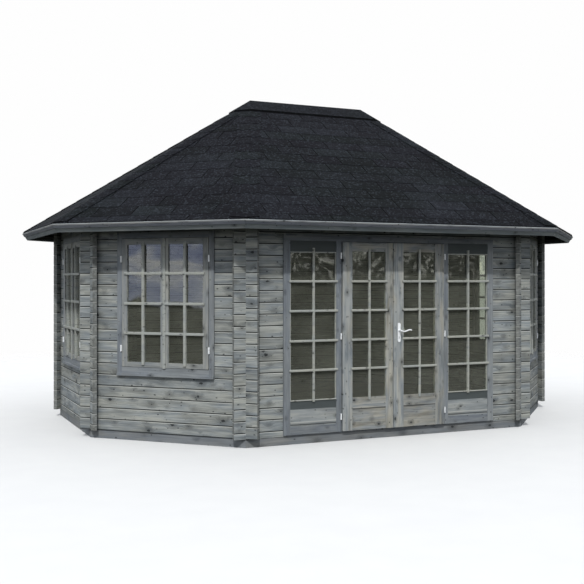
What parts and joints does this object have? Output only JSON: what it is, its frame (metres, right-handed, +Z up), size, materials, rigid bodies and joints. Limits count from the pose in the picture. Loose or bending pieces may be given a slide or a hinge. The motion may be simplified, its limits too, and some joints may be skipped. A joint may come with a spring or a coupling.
{
  "type": "log summerhouse",
  "caption": "Log summerhouse on a stretched octagon, with crossed log corners, hipped shingle roof, raised ridge cap, casement windows and outward double doors between fixed side lights.",
  "frame": {"origin": "on the ground at the centre of the plan", "axes": "+Z up, the front with the doors faces -Y, the ridge runs along X"},
  "size_m": [6.5418, 5.0368, 3.7785],
  "materials": {
    "log_timber": "matte",
    "joinery_timber": "matte",
    "base_timber": "matte",
    "floor_timber": "matte",
    "fascia_timber": "matte",
    "roof_timber": "matte",
    "infill_board": "satin",
    "shingled_boards": "matte",
    "glass": "gloss",
    "hinge_steel": "satin",
    "handle_aluminium": "satin"
  },
  "bodies": {
    "house": {"back_left_roof_panel": "shingled_boards", "back_left_wall": "log_timber", "back_right_roof_panel": "shingled_boards", "back_right_wall": "log_timber", "back_roof_panel": "shingled_boards", "back_wall": "log_timber", "base_frame": "base_timber", "door_frame": "joinery_timber", "eave_battens": "roof_timber", "eaves_drips": "fascia_timber", "fascia_boards": "fascia_timber", "floor_boards": "floor_timber", "floor_joists": "floor_timber", "frame_hinges": "hinge_steel", "front_left_roof_panel": "shingled_boards", "front_left_wall": "log_timber", "front_left_window_frame": "joinery_timber", "front_left_window_sashes": "joinery_timber", "front_right_roof_panel": "shingled_boards", "front_right_wall": "log_timber", "front_right_window_frame": "joinery_timber", "front_right_window_sashes": "joinery_timber", "front_roof_panel": "shingled_boards", "front_wall_header": "log_timber", "front_wall_left": "log_timber", "front_wall_right": "log_timber", "hip_rafters": "roof_timber", "left_end_roof_panel": "shingled_boards", "left_end_wall": "log_timber", "left_end_window_frame": "joinery_timber", "left_end_window_sashes": "joinery_timber", "ridge_beam": "roof_timber", "ridge_cap": "shingled_boards", "right_end_roof_panel": "shingled_boards", "right_end_wall": "log_timber", "right_end_window_frame": "joinery_timber", "right_end_window_sashes": "joinery_timber", "side_light_glass": "glass", "side_light_infill": "infill_board", "side_light_panels": "joinery_timber", "window_glass": "glass"},
    "left_leaf": {"left_door_leaf": "joinery_timber", "left_door_glass": "glass", "left_leaf_hinges": "hinge_steel"},
    "right_leaf": {"right_door_leaf": "joinery_timber", "right_door_glass": "glass", "right_leaf_hinges": "hinge_steel", "handle_plates": "handle_aluminium"},
    "lever": {"door_lever": "handle_aluminium"}
  },
  "joints": [
    {"name": "left_leaf_hinge", "type": "hinge", "parent": "house", "child": "left_leaf", "pos_m": [-0.613, -2.1344, 1], "axis": [0, 0, -1], "range_deg": [0, 160]},
    {"name": "right_leaf_hinge", "type": "hinge", "parent": "house", "child": "right_leaf", "pos_m": [0.613, -2.1344, 1], "axis": [0, 0, 1], "range_deg": [0, 160]},
    {"name": "lever_turn", "type": "hinge", "parent": "right_leaf", "child": "lever", "pos_m": [0.05, -2.1414, 1.096], "axis": [0, 1, 0], "range_deg": [0, 40], "stiffness_Nm_per_rad": 1.5, "springref_deg": -17.19}
  ]
}
